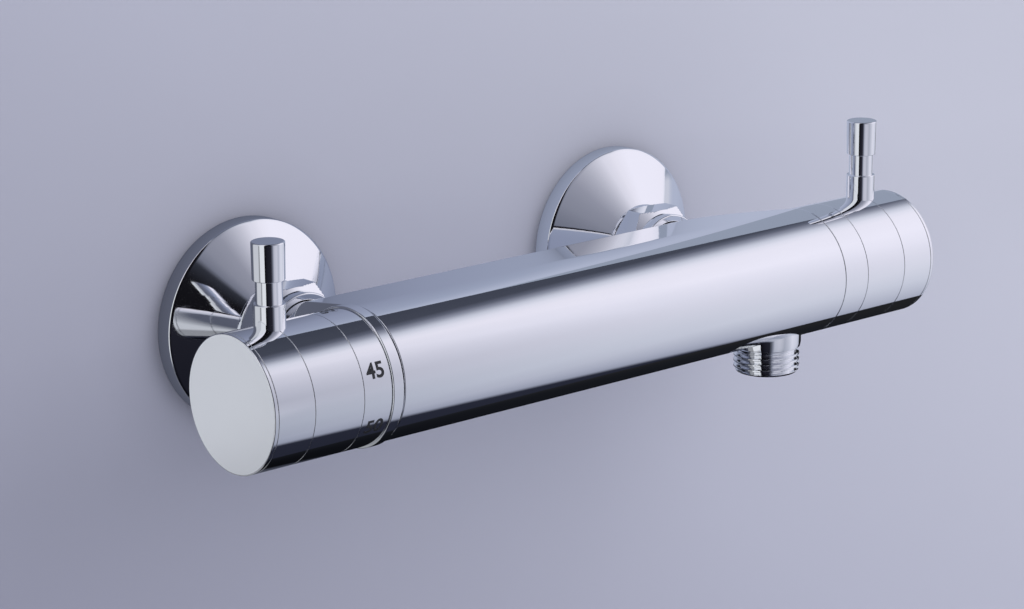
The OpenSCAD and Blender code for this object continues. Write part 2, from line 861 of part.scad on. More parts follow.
module flow_moving_disc() {
    end = moving_disc_start + moving_disc_t;
    color("white") in_right() difference() {
        rod(moving_disc_r, moving_disc_start, end);
        rotate([0, 0, 90]) disc_ports(moving_disc_start - over, end + over);
        beam(-disc_r, disc_r, tongue_w + slide_gap, moving_disc_start - over,
            moving_disc_start + tongue_slot_depth);
    }
}
module flow_spindle() {
    drive_start = flow_nose_l + 3 * slide_gap + circlip_t;
    drive_end = flow_start + spline_end;
    color("goldenrod") in_right() difference() {
        union() {
            rod(flow_shaft_r, -drive_start - over, flow_collar_start + over);
            rod(flow_collar_r, flow_collar_start, flow_collar_end);
            rod(flow_shank_r, flow_collar_end - over, tongue_start + over);
            beam(-tongue_half_l, tongue_half_l, tongue_w, tongue_start,
                moving_disc_start + tongue_slot_depth - face_gap);
            translate([0, 0, -drive_end])
                cylinder(r = spline_r, h = drive_end - drive_start, $fn = 12);
        }
        tube(flow_shank_r + over, circlip_groove_r, -drive_start, -flow_nose_l - slide_gap / 2);
        rod(tap_r, -drive_end - over, -drive_end + tap_l + over);
    }
}
module flow_circlip() {
    start = flow_nose_l + slide_gap;
    color("lightsteelblue") out_right() difference() {
        tube(circlip_r, circlip_groove_r + fit_gap, start, start + circlip_t);
        beam(0, circlip_r + over, circlip_slot_w, start - over, start + circlip_t + over);
    }
}
module flow_stop_ring() {
    color("whitesmoke") out_right() {
        tube(seat_r, flow_stop_in_r, flow_stop_start, flow_stop_end);
        for (start = [180 + flow_turn + tooth_turn / 2 + stop_ease,
                      180 - tooth_turn / 2 - stop_ease - lug_turn])
            rotate([0, 0, start])
                sector(stop_out_r, stop_in_r + face_gap, flow_stop_end - over,
                    flow_stop_end + stop_lug_h, lug_turn);
    }
}
module flow_ring() {
    color("silver") out_right()
        tube(bar_r, sleeve_in_r, flow_ring_start, flow_ring_start + flow_ring_w, fine_break);
}

// Handle pieces, drawn outwards from the inner edge of the sleeve, with the lever towards +X
module lever_axis() {
    translate([0, 0, seam]) rotate([0, 90, 0]) children();
}
module handle_hub() {
    color("whitesmoke") difference() {
        union() {
            rod(seat_r, hub_start, hub_end);
            rotate([0, 0, 180 - tooth_turn / 2])
                sector(stop_out_r, stop_in_r, -tooth_reach, hub_start + over, tooth_turn);
        }
        difference() {
            tube(hub_cavity_out_r, hub_cavity_in_r, hub_start - over, hub_cavity_end);
            around(hub_ribs) beam(0, bar_r, hub_rib_w, hub_start - over, hub_cavity_end + over);
        }
        translate([0, 0, hub_start - over])
            cylinder(r = spline_r + fit_gap, h = spline_end + face_gap - hub_start + over, $fn = 12);
        rod(screw_hole_r, hub_start, hub_end + over);
        rod(screw_recess_r, screw_head_start, hub_end + over);
        rod(dish_r, dish_start, hub_end + over);
        lever_axis() {
            rod(stud_r + fit_gap, stud_hole_tip, bar_r + over);
            rod(lever_spot_r, lever_seat, bar_r + over);
        }
    }
}
module handle_sleeve() {
    color("silver") difference() {
        tube(bar_r, sleeve_in_r, 0, handle_inner_w, fine_break);
        lever_axis() rod(lever_collar_d / 2 + fit_gap, stud_tip, bar_r + over);
    }
}
module handle_end_sleeve() {
    color("silver") difference() {
        tube(bar_r, sleeve_in_r, handle_inner_w + joint_gap, handle_end, fine_break);
        lever_axis() rod(lever_collar_d / 2 + fit_gap, stud_tip, bar_r + over);
    }
}
module handle_cap() {
    boss_r = dish_r - fit_gap;
    color("silver") {
        tube(bar_r, 0, cap_start, cap_start + cap_t, edge_break);
        tube(boss_r, boss_r - cap_boss_wall, cap_start - cap_boss_l, cap_start + cap_t / 2);
    }
}
module handle_screw() {
    head_end = screw_head_start + screw_head_h;
    color("lightsteelblue") difference() {
        union() {
            rod(screw_r, screw_head_start - screw_l, screw_head_start + over);
            tube(screw_head_r, 0, screw_head_start + face_gap, head_end, edge_break);
        }
        translate([0, 0, head_end - screw_socket_depth])
            cylinder(r = screw_socket_r, h = screw_socket_depth + over, $fn = 6);
    }
}
module lever(collar_rise) {
    collar = lever_collar_d / 2;
    neck = lever_neck_d / 2;
    knob = knob_d / 2;
    collar_top = bar_r + collar_rise;
    neck_top = collar_top + lever_neck_h;
    top = neck_top + knob_h;
    color("silver") lever_axis() rotate_extrude() polygon([
        [0, stud_tip], [stud_r, stud_tip], [stud_r, lever_seat + face_gap],
        [collar, lever_seat + face_gap], [collar, collar_top - edge_break],
        [collar - edge_break, collar_top], [neck, collar_top], [neck, neck_top],
        [knob - knob_taper - edge_break, neck_top], [knob - knob_taper, neck_top + edge_break],
        [knob, top - edge_break], [knob - edge_break, top], [0, top]
    ]);
}
module temp_handle_hub() {
    out_left(temp_start) handle_hub();
}
module temp_handle_sleeve() {
    out_left(temp_start) handle_sleeve();
}
module temp_handle_end() {
    out_left(temp_start) handle_end_sleeve();
}
module temp_handle_cap() {
    out_left(temp_start) handle_cap();
}
module temp_handle_screw() {
    out_left(temp_start) handle_screw();
}
module temp_lever() {
    out_left(temp_start) lever(temp_collar_rise);
}
module flow_handle_hub() {
    out_right(flow_start) handle_hub();
}
module flow_handle_sleeve() {
    out_right(flow_start) handle_sleeve();
}
module flow_handle_end() {
    out_right(flow_start) handle_end_sleeve();
}
module flow_handle_cap() {
    out_right(flow_start) handle_cap();
}
module flow_handle_screw() {
    out_right(flow_start) handle_screw();
}
module flow_lever() {
    out_right(flow_start) lever(flow_collar_rise);
}

valve_body();
outlet_nipple();
outlet_washer();
hot_escutcheon();
cold_escutcheon();
hot_s_union();
cold_s_union();
hot_union_nut();
cold_union_nut();
hot_washer();
cold_washer();
hot_retaining_ring();
cold_retaining_ring();
hot_check_housing();
cold_check_housing();
hot_check_poppet();
cold_check_poppet();
hot_check_spring();
cold_check_spring();
cartridge_head();
cartridge_sleeve();
cartridge_seals();
cartridge_nut();
thermostat_spindle();
thermostat_plunger();
wax_element();
thermostat_shuttle();
return_spring();
temp_stop_ring();
trim_ring();
scale_ring();
temp_handle_hub();
temp_handle_sleeve();
temp_handle_end();
temp_handle_cap();
temp_handle_screw();
temp_lever();
flow_housing();
flow_seals();
flow_seat_seal();
flow_fixed_disc();
flow_moving_disc();
flow_spindle();
flow_circlip();
flow_stop_ring();
flow_ring();
flow_handle_hub();
flow_handle_sleeve();
flow_handle_end();
flow_handle_cap();
flow_handle_screw();
flow_lever();
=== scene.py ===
import json
import math

import bmesh
import bpy
from mathutils import Matrix, Vector


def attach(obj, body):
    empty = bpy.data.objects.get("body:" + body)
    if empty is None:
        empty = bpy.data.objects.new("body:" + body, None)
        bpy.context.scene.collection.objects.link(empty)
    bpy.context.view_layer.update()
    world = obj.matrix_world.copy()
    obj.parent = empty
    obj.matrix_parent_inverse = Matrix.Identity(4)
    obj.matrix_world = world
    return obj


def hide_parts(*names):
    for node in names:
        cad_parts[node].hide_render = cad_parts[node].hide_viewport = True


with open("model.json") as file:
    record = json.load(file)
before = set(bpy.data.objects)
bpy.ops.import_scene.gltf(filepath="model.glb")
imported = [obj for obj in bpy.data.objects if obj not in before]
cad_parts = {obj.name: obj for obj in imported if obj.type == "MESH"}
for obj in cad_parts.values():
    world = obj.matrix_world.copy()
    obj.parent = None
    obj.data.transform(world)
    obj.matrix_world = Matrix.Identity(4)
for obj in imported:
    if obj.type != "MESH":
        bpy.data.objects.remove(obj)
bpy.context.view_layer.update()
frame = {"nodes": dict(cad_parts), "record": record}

# Sizes are in millimetres and turned into metres when a mesh is made.
MM = 0.001
BAR_Y = -73.0
BAR_Z = -7.5
BAR_R = 20.0
INLET_X = 75.0
EDGE = 0.3
FINE_EDGE = 0.15
QUARTER = math.pi / 2
X_AXIS = Vector((1, 0, 0))
Y_AXIS = Vector((0, 1, 0))
Z_AXIS = Vector((0, 0, 1))
BAR_ORIGIN = Vector((0, BAR_Y, BAR_Z))

# How finely the shapes are divided, and how often a place is halved to find it
AROUND = 256
THREAD_AROUND = 160
HEXAGON_AROUND = 240
CORNER_STEPS = 5
CHAMFER_STEPS = 10
EDGE_STEPS = 4
TAPER_STEPS = 24
ROWS_PER_PITCH = 16
HALVINGS = 40

# Below these, an area or a radius counts as nothing
NO_AREA = 1e-9
NO_RADIUS = 1e-6


# Meshes

class Shape:
    """Points, normals and faces of one piece, in millimetres."""

    def __init__(self):
        self.points = []
        self.normals = []
        self.faces = []
        self.slots = []

    def grid(self, rows, closed=False, slot_rows=()):
        """Skins rows of (point, normal) that go round; a row of one entry is a pole."""
        starts = []
        for row in rows:
            starts.append(len(self.points))
            for point, normal in row:
                self.points.append(point)
                self.normals.append(normal.normalized())
        bands = len(rows) if closed else len(rows) - 1
        for i in range(bands):
            j = (i + 1) % len(rows)
            slot = 1 if i in slot_rows else 0
            self.band(starts[i], len(rows[i]), starts[j], len(rows[j]), slot)

    def band(self, a, a_count, b, b_count, slot):
        """Joins two rows with faces that look the way their normals point."""
        count = max(a_count, b_count)
        for k in range(count):
            m = (k + 1) % count
            loop = [a + k % a_count, a + m % a_count, b + m % b_count, b + k % b_count]
            loop = list(dict.fromkeys(loop))
            p = [self.points[i] for i in loop]
            facing = (p[1] - p[0]).cross(p[2] - p[0]) + (p[2] - p[0]).cross(p[-1] - p[0])
            if facing.length < NO_AREA:
                facing = (p[1] - p[0]).cross(p[2] - p[0])
            outward = sum((self.normals[i] for i in loop), Vector())
            if facing.dot(outward) < 0:
                loop.reverse()
            self.faces.append(loop)
            self.slots.append(slot)

    def build(self, name, materials):
        """Makes the object, with its own smooth normals."""
        mesh = bpy.data.meshes.new(name)
        mesh.from_pydata([p * MM for p in self.points], [], self.faces)
        for material in materials:
            mesh.materials.append(material)
        mesh.polygons.foreach_set("material_index", self.slots)
        mesh.polygons.foreach_set("use_smooth", [True] * len(mesh.polygons))
        mesh.update()
        mesh.normals_split_custom_set_from_vertices(self.normals)
        piece = bpy.data.objects.new(name, mesh)
        bpy.context.scene.collection.objects.link(piece)
        return piece


# A turn below this stays a plain point, and a corner's curve uses this share of the shorter side
SLIGHT_TURN = math.radians(15)
CORNER_SHARE = 0.45


def corner_curve(here, come, go, radius, room):
    """Points and normals of the corner between two directions, no longer than room allows."""
    turn = math.atan2(come[0] * go[1] - come[1] * go[0], come.dot(go))
    first = Vector((come[1], -come[0]))
    second = Vector((go[1], -go[0]))
    if abs(turn) < SLIGHT_TURN:
        middle = (first + second).normalized()
        return [(here[0], here[1], middle[0], middle[1])]
    half = math.tan(abs(turn) / 2)
    reach = min(radius * half, room)
    radius = reach / half
    side = 1 if turn > 0 else -1
    centre = here - come * reach - first * radius * side
    begin = math.atan2(first[1], first[0])
    out = []
    for k in range(CORNER_STEPS + 1):
        angle = begin + turn * k / CORNER_STEPS
        n = Vector((math.cos(angle), math.sin(angle)))
        q = centre + n * radius * side
        out.append((q[0], q[1], n[0], n[1]))
    return out


def rounded(profile, corner, closed):
    """A profile of (h, r) or (h, r, corner) as (h, r, normal h, normal r), its corners rounded."""
    points = [tuple(p) for p in profile]
    if sum(p[0] * q[1] - q[0] * p[1] for p, q in zip(points, points[1:] + points[:1])) < 0:
        points.reverse()
    out = []
    last = len(points) - 1
    for i, p in enumerate(points):
        here = Vector(p[:2])
        come = here - Vector(points[i - 1][:2])
        go = Vector(points[(i + 1) % len(points)][:2]) - here
        room = CORNER_SHARE * min(come.length, go.length)
        come.normalize()
        go.normalize()
        if closed or 0 < i < last:
            out += corner_curve(here, come, go, p[2] if len(p) > 2 else corner, room)
        else:
            way = go if i == 0 else come
            out.append((here[0], here[1], way[1], -way[0]))
    return out


def directions(along, count):
    """Unit vectors round one of the three axes."""
    u = X_AXIS if along.z else Z_AXIS
    v = along.cross(u)
    angles = [2 * math.pi * k / count for k in range(count)]
    return [u * math.cos(a) + v * math.sin(a) for a in angles]


FACE_ON = 0.999


def turned(shape, profile, origin, along, corner=EDGE, closed=True, count=AROUND, face_slot=None):
    """Turns a profile about an axis. face_slot gives flat faces inside that radius slot 1."""
    around = directions(along, count)
    rows = []
    flat = set()
    line = rounded(profile, corner, closed)
    for i, (h, r, nh, nr) in enumerate(line):
        centre = origin + along * h
        if r < NO_RADIUS:
            rows.append([(centre, along * nh)])
        else:
            rows.append([(centre + d * r, along * nh + d * nr) for d in around])
        if face_slot and i + 1 < len(line):
            after = line[i + 1]
            if min(abs(nh), abs(after[2])) > FACE_ON and max(r, after[1]) < face_slot:
                flat.add(i)
    shape.grid(rows, closed, flat)
    return shape


def along_bar(shape, profile, corner=EDGE, closed=True, face_slot=None):
    """Turns a profile of (x, r) about the bar's axis."""
    return turned(shape, profile, BAR_ORIGIN, X_AXIS, corner, closed, AROUND, face_slot)


def pipe(start, end, outer, inner, corner=EDGE):
    """The profile of a plain ring."""
    return [(start, inner), (start, outer, corner), (end, outer, corner), (end, inner)]


# The half inch pipe thread
THREAD_PITCH = 1.814
THREAD_CREST = 10.4775
THREAD_ROOT = 9.35
THREAD_NOSE = 0.9
NOSE_SLOPE = 0.9
TOOTH_GAIN = 1.35
TOOTH_LOSS = 0.15
LEAD_SHARE = 0.6
THREAD_SINK = 1.0
CORE_GAP = 0.1
NUDGE = 0.01


def threaded(shape, origin, along, start, end):
    """A round threaded stretch with a chamfer at its end."""
    around = directions(along, THREAD_AROUND)
    height = THREAD_CREST - THREAD_ROOT

    def radius(h, turn):
        wave = 0.5 + 0.5 * math.cos(2 * math.pi * (h / THREAD_PITCH - turn))
        tooth = min(1.0, max(0.0, TOOTH_GAIN * wave - TOOTH_LOSS))
        lead = min(1.0, max(0.0, (h - start) / (LEAD_SHARE * THREAD_PITCH)))
        limit = THREAD_CREST - max(0.0, THREAD_NOSE - (end - h)) * NOSE_SLOPE
        return min(THREAD_ROOT + height * tooth * lead, limit)

    def flat_row(h, normal):
        return [(origin + along * h + d * (THREAD_ROOT - THREAD_SINK), normal) for d in around]

    rows = [flat_row(start, -along)]
    steps = round((end - start) / THREAD_PITCH * ROWS_PER_PITCH)
    for i in range(steps + 1):
        h = start + (end - start) * i / steps
        row = []
        for k, d in enumerate(around):
            turn = k / THREAD_AROUND
            r = radius(h, turn)
            slope = (radius(h + NUDGE, turn) - radius(h - NUDGE, turn)) / (2 * NUDGE)
            swirl = (radius(h, turn + NUDGE) - radius(h, turn - NUDGE)) / (2 * NUDGE)
            side = along.cross(d)
            normal = d - along * slope - side * swirl / (2 * math.pi * r)
            row.append((origin + along * h + d * r, normal))
        rows.append(row)
    rows.append(flat_row(end, along))
    shape.grid(rows)
    return shape


# Half the angle of a hexagon's side, and how far from a corner its edge is rounded
HALF_SIDE = math.pi / 6
CORNER_SOFT = math.radians(1.6)


def hexagonal(shape, origin, along, start, end, across, bore, nose_r, chamfer, spin=0.0):
    """A hexagon with turned chamfers and a bore."""
    flat_r = across / 2
    corner_r = flat_r / math.cos(HALF_SIDE)
    around = directions(along, HEXAGON_AROUND)
    lean = math.atan2(corner_r - nose_r, chamfer)

    def side(k):
        angle = 2 * math.pi * k / HEXAGON_AROUND + spin
        off = (angle + HALF_SIDE) % (2 * HALF_SIDE) - HALF_SIDE
        past = max(0.0, abs(off) - (HALF_SIDE - CORNER_SOFT)) / CORNER_SOFT
        turn = -off + math.copysign(past * HALF_SIDE, off)
        return flat_r / math.cos(off), turn

    def row(h, limit, cone):
        out = []
        for k, d in enumerate(around):
            r, turn = side(k)
            across_d = along.cross(d)
            normal = d * math.cos(turn) + across_d * math.sin(turn)
            if limit < r:
                r = limit
                normal = d * math.cos(cone) + along * math.sin(cone)
            out.append((origin + along * h + d * r, normal))
        return out

    def ring(h, r, normal_h, normal_r):
        return [(origin + along * h + d * r, along * normal_h + d * normal_r) for d in around]

    rows = [ring(start, bore, -1, 0), ring(start, nose_r, -1, 0)]
    shares = [i / CHAMFER_STEPS for i in range(CHAMFER_STEPS + 1)]
    for share in shares:
        rows.append(row(start + chamfer * share, nose_r + (corner_r - nose_r) * share, -lean))
    for share in reversed(shares):
        rows.append(row(end - chamfer * share, nose_r + (corner_r - nose_r) * share, lean))
    rows += [ring(end, nose_r, 1, 0), ring(end, bore, 1, 0)]
    rows += [ring(end, bore, 0, -1), ring(start, bore, 0, -1)]
    shape.grid(rows, True)
    return shape


# The body

CASING_DEPTH = 22.3
CASING_HALF = 8.0
CASING_CORNER = 9.0
BODY_LEFT = -87.7
BODY_RIGHT = 92.0
NECK_LEFT = -91.9
NECK_R = 18.15
BORE_R = 17.0
TAPER_START = 75.0
TAPER_SOFT = 14.0


def casing_section(count):
    """Points and normals (depth, height) round the bar and the rear casing's two corners."""
    circles = [
        (Vector((0, 0)), BAR_R),
        (Vector((CASING_DEPTH, CASING_HALF)), CASING_CORNER),
        (Vector((CASING_DEPTH, -CASING_HALF)), CASING_CORNER),
    ]

    def support(angle):
        n = Vector((math.cos(angle), math.sin(angle)))
        reach = [c.dot(n) + r for c, r in circles]
        best = reach.index(max(reach))
        return best, circles[best][0] + n * circles[best][1], n

    out = []
    for k in range(count):
        angle = 2 * math.pi * k / count
        best, point, n = support(angle)
        out.append((point, n))
        low, high = angle, angle + 2 * math.pi / count
        if support(high)[0] != best:
            for _ in range(HALVINGS):
                middle = (low + high) / 2
                if support(middle)[0] == best:
                    low = middle
                else:
                    high = middle
            out.append(support(low)[1:])
            out.append(support(high)[1:])
    return out


def taper_share(x):
    """How far the casing has drawn in to the round bar at x, and its slope."""
    run = BODY_RIGHT - TAPER_START
    past = x - TAPER_START
    if past <= -TAPER_SOFT:
        return 0.0, 0.0
    if past < TAPER_SOFT:
        share = (past + TAPER_SOFT) / (2 * TAPER_SOFT)
        return TAPER_SOFT * share * share / run, share / run
    return past / run, 1 / run


def left_edge(x):
    """The rounded edge of an end that faces left: places, insets and leans of its rows."""
    turns = [QUARTER * k / EDGE_STEPS for k in range(EDGE_STEPS + 1)]
    return [(x + EDGE * (1 - math.cos(a)), EDGE * (1 - math.sin(a)), a - QUARTER) for a in turns]


def right_edge(x):
    """The same for an end that faces right."""
    return [(2 * x - place, inset, -lean) for place, inset, lean in reversed(left_edge(x))]


def body_shell():
    """The bar with its casing, its neck and its bore."""
    section = casing_section(AROUND)

    def place(x, flat, lean, n):
        """A point, and its normal n turned by lean towards the right end."""
        point = Vector((x, BAR_Y + flat[0], BAR_Z + flat[1]))
        return point, Vector((math.sin(lean), n[0] * math.cos(lean), n[1] * math.cos(lean)))

    def outer(x, inset, lean):
        share, slope = taper_share(x)
        row = []
        for point, n in section:
            flat = point.lerp(n * BAR_R, share) - n * inset
            drawn = math.atan(slope * (point.dot(n) - BAR_R)) if abs(lean) < QUARTER else 0
            row.append(place(x, flat, lean + drawn, n))
        return row

    def circle(x, r, lean):
        return [place(x, n * r, lean, n) for _, n in section]

    taper_left = TAPER_START - TAPER_SOFT
    tapers = [taper_left + 2 * TAPER_SOFT * k / TAPER_STEPS for k in range(TAPER_STEPS + 1)]
    rows = [circle(NECK_LEFT, BORE_R, -QUARTER)]
    rows += [circle(x, NECK_R - inset, lean) for x, inset, lean in left_edge(NECK_LEFT)]
    rows += [circle(BODY_LEFT, NECK_R, 0), circle(BODY_LEFT, NECK_R, -QUARTER)]
    rows += [outer(x, inset, lean) for x, inset, lean in left_edge(BODY_LEFT)]
    rows += [outer(x, 0, 0) for x in tapers]
    rows += [outer(x, inset, lean) for x, inset, lean in right_edge(BODY_RIGHT)]
    rows.append(circle(BODY_RIGHT, BORE_R, QUARTER))
    rows += [circle(x, BORE_R, 2 * QUARTER) for x in (BODY_RIGHT, NECK_LEFT)]
    shape = Shape()
    shape.grid(rows, True)
    return shape


# Finishes

FINE_GRAIN = 14
BROAD_DETAIL = 4
FINE_DETAIL = 3
GRAIN_DEPTH = 0.0002
NOISE_LOW = 0.3
NOISE_HIGH = 0.7


def noise_node(nodes, links, place, scale, detail):
    """Noise by the place on the piece."""
    made = nodes.new("ShaderNodeTexNoise")
    made.inputs["Scale"].default_value = scale
    made.inputs["Detail"].default_value = detail
    links.new(place, made.inputs["Vector"])
    return made.outputs["Fac"]


def map_node(nodes, links, value, start, end, low, high):
    """Maps a value from start and end to low and high."""
    made = nodes.new("ShaderNodeMapRange")
    for name, number in (("From Min", start), ("From Max", end), ("To Min", low), ("To Max", high)):
        made.inputs[name].default_value = number
    links.new(value, made.inputs["Value"])
    return made.outputs["Result"]


def mix_node(nodes, links, factor, first, second, blend="MIX"):
    """A colour between two, each a colour or a socket; the factor is a number or a socket."""
    made = nodes.new("ShaderNodeMix")
    made.data_type = "RGBA"
    made.blend_type = blend
    for name, value in (("Factor", factor), ("A", first), ("B", second)):
        socket = made.inputs[name]
        if isinstance(value, float):
            socket.default_value = value
        elif isinstance(value, tuple):
            socket.default_value = (*value, 1)
        else:
            links.new(value, socket)
    return made.outputs["Result"]


def finish(name, base, other, metallic, rough, vary, grain, bump):
    """A shader whose colour, roughness and surface vary with noise of the given grain."""
    material = bpy.data.materials.new(name)
    material.use_nodes = True
    nodes, links = material.node_tree.nodes, material.node_tree.links
    shader = nodes["Principled BSDF"]
    shader.inputs["Metallic"].default_value = metallic
    place = nodes.new("ShaderNodeTexCoord").outputs["Object"]
    broad = noise_node(nodes, links, place, grain, BROAD_DETAIL)
    fine = noise_node(nodes, links, place, grain * FINE_GRAIN, FINE_DETAIL)
    links.new(mix_node(nodes, links, broad, base, other), shader.inputs["Base Color"])
    spread = map_node(nodes, links, fine, NOISE_LOW, NOISE_HIGH, rough - vary, rough + vary)
    links.new(spread, shader.inputs["Roughness"])
    relief = nodes.new("ShaderNodeBump")
    relief.inputs["Strength"].default_value = bump
    relief.inputs["Distance"].default_value = GRAIN_DEPTH
    links.new(fine, relief.inputs["Height"])
    links.new(relief.outputs["Normal"], shader.inputs["Normal"])
    return material


# Two colours, then metallic, roughness and its spread, scale of the grain, height of the grain
FINISHES = {
    "chrome": ((0.93, 0.935, 0.95), (0.90, 0.91, 0.93), 1, 0.04, 0.012, 40, 0.004),
    "satin_chrome": ((0.90, 0.915, 0.93), (0.87, 0.885, 0.90), 0.55, 0.30, 0.02, 14, 0.001),
    "brass": ((0.74, 0.55, 0.27), (0.62, 0.43, 0.19), 1, 0.28, 0.08, 90, 0.06),
    "copper": ((0.78, 0.42, 0.28), (0.62, 0.30, 0.20), 1, 0.30, 0.08, 90, 0.05),
    "stainless": ((0.66, 0.67, 0.68), (0.55, 0.56, 0.58), 1, 0.24, 0.07, 120, 0.04),
    "rubber": ((0.020, 0.020, 0.022), (0.035, 0.035, 0.038), 0, 0.62, 0.08, 150, 0.10),
    "plastic": ((0.66, 0.67, 0.66), (0.56, 0.57, 0.57), 0, 0.42, 0.06, 110, 0.05),
    "ceramic": ((0.80, 0.79, 0.75), (0.72, 0.71, 0.67), 0, 0.16, 0.04, 130, 0.02),
    "scale_paint": ((0.010, 0.010, 0.012), (0.022, 0.022, 0.026), 0, 0.40, 0.08, 300, 0.05),
    "wall": ((0.95, 0.95, 0.95), (1.0, 1.0, 1.0), 0, 0.75, 0.05, 3, 0.02),
    "floor": ((0.72, 0.73, 0.78), (0.75, 0.76, 0.81), 0, 0.8, 0.05, 3, 0.02),
    # A see-through sheet of painted shade; its own finish below sets what it lets through
    "shade_sheet": ((0.97, 0.97, 0.97), (1.0, 1.0, 1.0), 0, 0.9, 0.02, 3, 0.01),
}
finishes = {name: finish(name, *values) for name, values in FINISHES.items()}

for part in frame["record"]["subparts"]:
    node = frame["nodes"][part["node"]]
    node.data.materials.clear()
    node.data.materials.append(finishes[part["material_slot"]])


# Pieces

def piece(name, shape, body, nodes, slot="chrome", looks=("chrome",)):
    """Builds a piece that stands for CAD nodes and rides a body."""
    made = shape.build(name, [finishes[look] for look in looks])
    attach(made, body)
    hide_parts(*nodes)
    return made


SPIGOT_START = 25.6
SPIGOT_END = 45.0
SPIGOT_R = 11.2
SPIGOT_BORE_R = 8.05


def make_body():
    """The bar with its two inlet spigots."""
    shape = body_shell()
    for x in (-INLET_X, INLET_X):
        profile = pipe(SPIGOT_START, SPIGOT_END, SPIGOT_R, SPIGOT_BORE_R)
        turned(shape, profile, Vector((x, 0, BAR_Z)), -Y_AXIS)
    piece("body", shape, "root", ["valve_body"])


# The outlet, by the depth below the bar's axis
OUTLET_X = 77.0
OUTLET_START = 16.3
OUTLET_END = 30.0
OUTLET_BORE_R = 7.0
OUTLET_CHAMFER = 0.6
OUTLET_CORNER = 0.25
OUTLET_COLLAR_R = 10.9
OUTLET_COLLAR_END = 20.3
COLLAR_NOSE_END = 21.6
COLLAR_NOSE_R = 10.65
OUTLET_NECK = 22.1
OUTLET_NECK_CORNER = 0.5


def make_outlet():
    """The collar and the male thread for the hose."""
    origin = Vector((OUTLET_X, BAR_Y, BAR_Z))
    profile = [
        (OUTLET_START, OUTLET_BORE_R), (OUTLET_START, OUTLET_COLLAR_R),
        (OUTLET_COLLAR_END, OUTLET_COLLAR_R), (COLLAR_NOSE_END, COLLAR_NOSE_R),
        (OUTLET_NECK, THREAD_ROOT, OUTLET_NECK_CORNER),
        (OUTLET_END - OUTLET_CHAMFER, THREAD_ROOT - CORE_GAP), (OUTLET_END, THREAD_ROOT - OUTLET_CHAMFER),
        (OUTLET_END, OUTLET_BORE_R + EDGE), (OUTLET_END - EDGE, OUTLET_BORE_R),
    ]
    shape = turned(Shape(), profile, origin, -Z_AXIS, OUTLET_CORNER)
    threaded(shape, origin, -Z_AXIS, OUTLET_NECK - CORE_GAP, OUTLET_END - CORE_GAP)
    piece("outlet", shape, "root", ["outlet_nipple"])


# The wall union, by the distance from the wall: stud, hexagon and barrel
STUD_END = 15.6
STUD_FRONT = 3.0
STUD_BORE_R = 7.5
STUD_THREAD_FRONT = 0.7
STUD_THREAD_END = 16.0
HEXAGON_START = 0.8
HEXAGON_END = 5.4
HEXAGON_FLATS = 27.0
HEXAGON_NOSE_R = 13.6
HEXAGON_CHAMFER = 0.8
BARREL_START = 1.2
BARREL_END = 23.6
BARREL_R = 13.22
BARREL_BORE_R = 9.0

# The escutcheon
ROSETTE_R = 31.5
RIM_END = 5.5
RIM_CORNER = 0.9
CONE_START = 6.05
CONE_START_R = 30.95
CONE_END = 16.7
CONE_END_R = 14.69
CONE_CORNER = 0.25
CONE_MARGIN = 0.2
THROAT_R = 13.3
SHEET = 0.8
RIM_INNER_R = 30.1
RIM_INNER_END = 4.6

# The nut and its collar
NUT_START = 17.2
NUT_END = 27.4
NUT_FLATS = 29.0
NUT_BORE_R = 12.9
NUT_NOSE_R = 13.0
NUT_CHAMFER = 2.4
NUT_COLLAR_START = 26.8
NUT_COLLAR_END = 30.8
NUT_COLLAR_R = 13.6
NUT_COLLAR_BORE_R = 11.4
NUT_COLLAR_CORNER = 0.6


def rosette_profile():
    """The escutcheon's profile. A point close to the cone's start keeps its normals straight."""
    slope = (CONE_END_R - CONE_START_R) / (CONE_END - CONE_START)
    return [
        (0, ROSETTE_R), (RIM_END, ROSETTE_R, RIM_CORNER), (CONE_START, CONE_START_R, CONE_CORNER),
        (CONE_START + CONE_MARGIN, CONE_START_R + slope * CONE_MARGIN),
        (CONE_END, CONE_END_R, CONE_CORNER), (CONE_END, THROAT_R), (CONE_END - SHEET, THROAT_R),
        (RIM_INNER_END, RIM_INNER_R), (0, RIM_INNER_R),
    ]


def make_union(side, x):
    """The wall union, its escutcheon and its nut at one inlet."""
    wall = Vector((x, 0, 0))
    valve = Vector((x, 0, BAR_Z))
    stud = pipe(-STUD_END, STUD_FRONT, THREAD_ROOT - CORE_GAP, STUD_BORE_R)
    shape = turned(Shape(), stud, wall, -Y_AXIS)
    threaded(shape, wall, Y_AXIS, -STUD_THREAD_FRONT, STUD_THREAD_END)
    hexagonal(shape, wall, -Y_AXIS, HEXAGON_START, HEXAGON_END, HEXAGON_FLATS, STUD_BORE_R,
              HEXAGON_NOSE_R, HEXAGON_CHAMFER, HALF_SIDE)
    turned(shape, pipe(BARREL_START, BARREL_END, BARREL_R, BARREL_BORE_R), valve, -Y_AXIS)
    piece(f"{side}_union", shape, "root", [f"{side}_s_union"])

    shape = turned(Shape(), rosette_profile(), valve, -Y_AXIS)
    piece(f"{side}_rosette", shape, "root", [f"{side}_escutcheon"])

    shape = hexagonal(Shape(), valve, -Y_AXIS, NUT_START, NUT_END, NUT_FLATS, NUT_BORE_R, NUT_NOSE_R,
                      NUT_CHAMFER)
    collar = pipe(NUT_COLLAR_START, NUT_COLLAR_END, NUT_COLLAR_R, NUT_COLLAR_BORE_R, NUT_COLLAR_CORNER)
    turned(shape, collar, valve, -Y_AXIS)
    piece(f"{side}_nut", shape, "root", [f"{side}_union_nut"])


